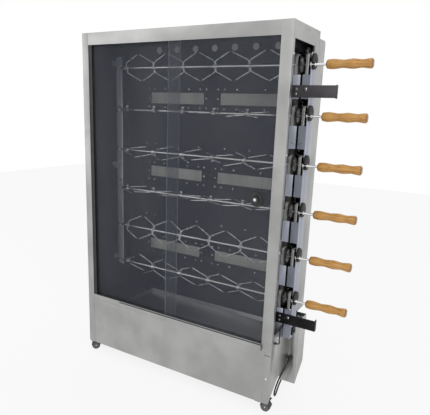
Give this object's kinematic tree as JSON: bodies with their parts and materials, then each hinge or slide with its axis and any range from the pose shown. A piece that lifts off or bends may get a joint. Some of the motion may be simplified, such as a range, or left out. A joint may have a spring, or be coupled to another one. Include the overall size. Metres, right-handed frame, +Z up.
{
  "type": "gas chicken rotisserie",
  "caption": "Upright gas rotisserie cabinet with chain-driven spits, sliding smoked glass doors, grease drawer, side drive column and casters.",
  "frame": {"origin": "centre of the bounding box of everything but the mains lead, on the floor under the casters", "axes": "+Z up, +X towards the spit handles on the right side, -Y out of the glass front"},
  "size_m": [1.363, 0.5182, 1.65],
  "materials": {
    "brushed_casing": "brushed stainless sheet with soft reflections",
    "bright_sheet": "bright stainless sheet with cut edges",
    "black_enamel": "heat-proof dark enamel, satin",
    "smoked_glass": "smoked toughened glass",
    "black_track": "black channel, matt",
    "black_knob": "moulded black knob",
    "chrome_rod": "polished spit rod",
    "fork_steel": "stainless wire and cast hubs",
    "turned_wood": "varnished light hardwood",
    "black_steel": "black painted flat bar",
    "black_iron": "black iron bearing",
    "frame_paint": "black painted tube",
    "caster_plastic": "black moulded hood",
    "caster_tyre": "grey rubber tread",
    "ceramic_tile": "pale perforated ceramic",
    "gas_brass": "brass and copper pipe",
    "motor_paint": "grey enamel on cast housing",
    "chain_steel": "oiled roller chain",
    "sprocket_steel": "dark oiled steel",
    "screw_steel": "bright zinc screws",
    "cord_rubber": "black rubber sheath"
  },
  "bodies": {
    "casing": {"base_frame": "frame_paint", "left_side_panel": "brushed_casing", "right_side_frame": "brushed_casing", "top_cover": "brushed_casing", "apron": "brushed_casing", "sill_rail": "brushed_casing", "door_tracks": "black_track", "column_plates": "bright_sheet", "chamber_back": "black_enamel", "chamber_liner": "black_enamel", "spit_rest_bar": "bright_sheet", "burner_housings": "bright_sheet", "burner_tiles": "ceramic_tile", "gas_manifold": "gas_brass", "rear_cover": "brushed_casing", "motor_box": "brushed_casing", "gear_motor": "motor_paint", "drive_chain": "chain_steel", "bearing_shoes": "black_iron", "guard_arms": "black_steel", "body_screws": "screw_steel", "cord_gland": "black_track", "mains_cord": "cord_rubber", "cord_coil": "cord_rubber", "plug": "black_knob"},
    "left_door": {"left_door_glass": "smoked_glass"},
    "right_door": {"right_door_glass": "smoked_glass", "door_knob": "black_knob"},
    "drawer": {"grease_drawer": "bright_sheet"},
    "motor_wheel": {"motor_sprocket": "sprocket_steel"},
    "idler_wheel": {"top_idler": "sprocket_steel"},
    "spit_1": {"spit_1_shaft": "chrome_rod", "spit_1_forks": "fork_steel", "spit_1_handle": "turned_wood"},
    "spit_2": {"spit_2_shaft": "chrome_rod", "spit_2_forks": "fork_steel", "spit_2_handle": "turned_wood"},
    "spit_3": {"spit_3_shaft": "chrome_rod", "spit_3_forks": "fork_steel", "spit_3_handle": "turned_wood"},
    "spit_4": {"spit_4_shaft": "chrome_rod", "spit_4_forks": "fork_steel", "spit_4_handle": "turned_wood"},
    "spit_5": {"spit_5_shaft": "chrome_rod", "spit_5_forks": "fork_steel", "spit_5_handle": "turned_wood"},
    "spit_6": {"spit_6_shaft": "chrome_rod", "spit_6_forks": "fork_steel", "spit_6_handle": "turned_wood"},
    "gas_knob_1": {"gas_knob_1": "black_knob"},
    "gas_knob_2": {"gas_knob_2": "black_knob"},
    "gas_knob_3": {"gas_knob_3": "black_knob"},
    "caster_front_right": {"caster_front_right_hood": "caster_plastic"},
    "caster_front_right_wheels": {"caster_front_right_wheels": "caster_tyre"},
    "caster_front_left": {"caster_front_left_hood": "caster_plastic"},
    "caster_front_left_wheels": {"caster_front_left_wheels": "caster_tyre"},
    "caster_rear_left": {"caster_rear_left_hood": "caster_plastic"},
    "caster_rear_left_wheels": {"caster_rear_left_wheels": "caster_tyre"},
    "caster_rear_right": {"caster_rear_right_hood": "caster_plastic"},
    "caster_rear_right_wheels": {"caster_rear_right_wheels": "caster_tyre"}
  },
  "joints": [
    {"name": "spit_1_turn", "type": "hinge", "parent": "casing", "child": "spit_1", "pos_m": [-0.0545, -0.0367, 0.502], "axis": [1, 0, 0], "continuous": true},
    {"name": "spit_2_turn", "type": "hinge", "parent": "casing", "child": "spit_2", "pos_m": [-0.0545, -0.0367, 0.702], "axis": [1, 0, 0], "continuous": true},
    {"name": "spit_3_turn", "type": "hinge", "parent": "casing", "child": "spit_3", "pos_m": [-0.0545, -0.0367, 0.902], "axis": [1, 0, 0], "continuous": true},
    {"name": "spit_4_turn", "type": "hinge", "parent": "casing", "child": "spit_4", "pos_m": [-0.0545, -0.0367, 1.102], "axis": [1, 0, 0], "continuous": true},
    {"name": "spit_5_turn", "type": "hinge", "parent": "casing", "child": "spit_5", "pos_m": [-0.0545, -0.0367, 1.302], "axis": [1, 0, 0], "continuous": true},
    {"name": "spit_6_turn", "type": "hinge", "parent": "casing", "child": "spit_6", "pos_m": [-0.0545, -0.0367, 1.502], "axis": [1, 0, 0], "continuous": true},
    {"name": "motor_wheel_turn", "type": "hinge", "parent": "casing", "child": "motor_wheel", "pos_m": [0.4015, 0.0753, 0.335], "axis": [1, 0, 0], "continuous": true},
    {"name": "idler_wheel_turn", "type": "hinge", "parent": "casing", "child": "idler_wheel", "pos_m": [0.4015, 0.0233, 1.54], "axis": [1, 0, 0], "continuous": true},
    {"name": "left_door_slide", "type": "slide", "parent": "casing", "child": "left_door", "axis": [1, 0, 0], "range_m": [0, 0.46]},
    {"name": "right_door_slide", "type": "slide", "parent": "casing", "child": "right_door", "axis": [1, 0, 0], "range_m": [-0.46, 0]},
    {"name": "drawer_slide", "type": "slide", "parent": "casing", "child": "drawer", "axis": [0, -1, 0], "range_m": [0, 0.25]},
    {"name": "gas_knob_1_turn", "type": "hinge", "parent": "casing", "child": "gas_knob_1", "pos_m": [-0.6545, 0.1693, 0.582], "axis": [-1, 0, 0], "range_deg": [0, 180]},
    {"name": "gas_knob_2_turn", "type": "hinge", "parent": "casing", "child": "gas_knob_2", "pos_m": [-0.6545, 0.1693, 0.986], "axis": [-1, 0, 0], "range_deg": [0, 180]},
    {"name": "gas_knob_3_turn", "type": "hinge", "parent": "casing", "child": "gas_knob_3", "pos_m": [-0.6545, 0.1693, 1.366], "axis": [-1, 0, 0], "range_deg": [0, 180]},
    {"name": "caster_front_right_swivel", "type": "hinge", "parent": "casing", "child": "caster_front_right", "pos_m": [0.3815, -0.1507, 0.045], "axis": [0, 0, 1], "continuous": true},
    {"name": "caster_front_right_roll", "type": "hinge", "parent": "caster_front_right", "child": "caster_front_right_wheels", "pos_m": [0.3955, -0.1507, 0.021], "axis": [0, -1, 0], "continuous": true},
    {"name": "caster_front_left_swivel", "type": "hinge", "parent": "casing", "child": "caster_front_left", "pos_m": [-0.6205, -0.1507, 0.045], "axis": [0, 0, 1], "continuous": true},
    {"name": "caster_front_left_roll", "type": "hinge", "parent": "caster_front_left", "child": "caster_front_left_wheels", "pos_m": [-0.6304, -0.1606, 0.021], "axis": [-0.7071, 0.7071, 0], "continuous": true},
    {"name": "caster_rear_left_swivel", "type": "hinge", "parent": "casing", "child": "caster_rear_left", "pos_m": [-0.5345, 0.0893, 0.045], "axis": [0, 0, 1], "continuous": true},
    {"name": "caster_rear_left_roll", "type": "hinge", "parent": "caster_rear_left", "child": "caster_rear_left_wheels", "pos_m": [-0.54766, 0.08451, 0.021], "axis": [-0.342, 0.9397, 0], "continuous": true},
    {"name": "caster_rear_right_swivel", "type": "hinge", "parent": "casing", "child": "caster_rear_right", "pos_m": [0.2755, 0.0893, 0.045], "axis": [0, 0, 1], "continuous": true},
    {"name": "caster_rear_right_roll", "type": "hinge", "parent": "caster_rear_right", "child": "caster_rear_right_wheels", "pos_m": [0.26338, 0.0963, 0.021], "axis": [0.5, 0.866, 0], "continuous": true}
  ],
  "couplings": [
    {"joint": "spit_2_turn", "follows": "spit_1_turn", "ratio": 1},
    {"joint": "spit_3_turn", "follows": "spit_1_turn", "ratio": 1},
    {"joint": "spit_4_turn", "follows": "spit_1_turn", "ratio": 1},
    {"joint": "spit_5_turn", "follows": "spit_1_turn", "ratio": 1},
    {"joint": "spit_6_turn", "follows": "spit_1_turn", "ratio": 1},
    {"joint": "motor_wheel_turn", "follows": "spit_1_turn", "ratio": -1.25},
    {"joint": "idler_wheel_turn", "follows": "spit_1_turn", "ratio": -1}
  ]
}
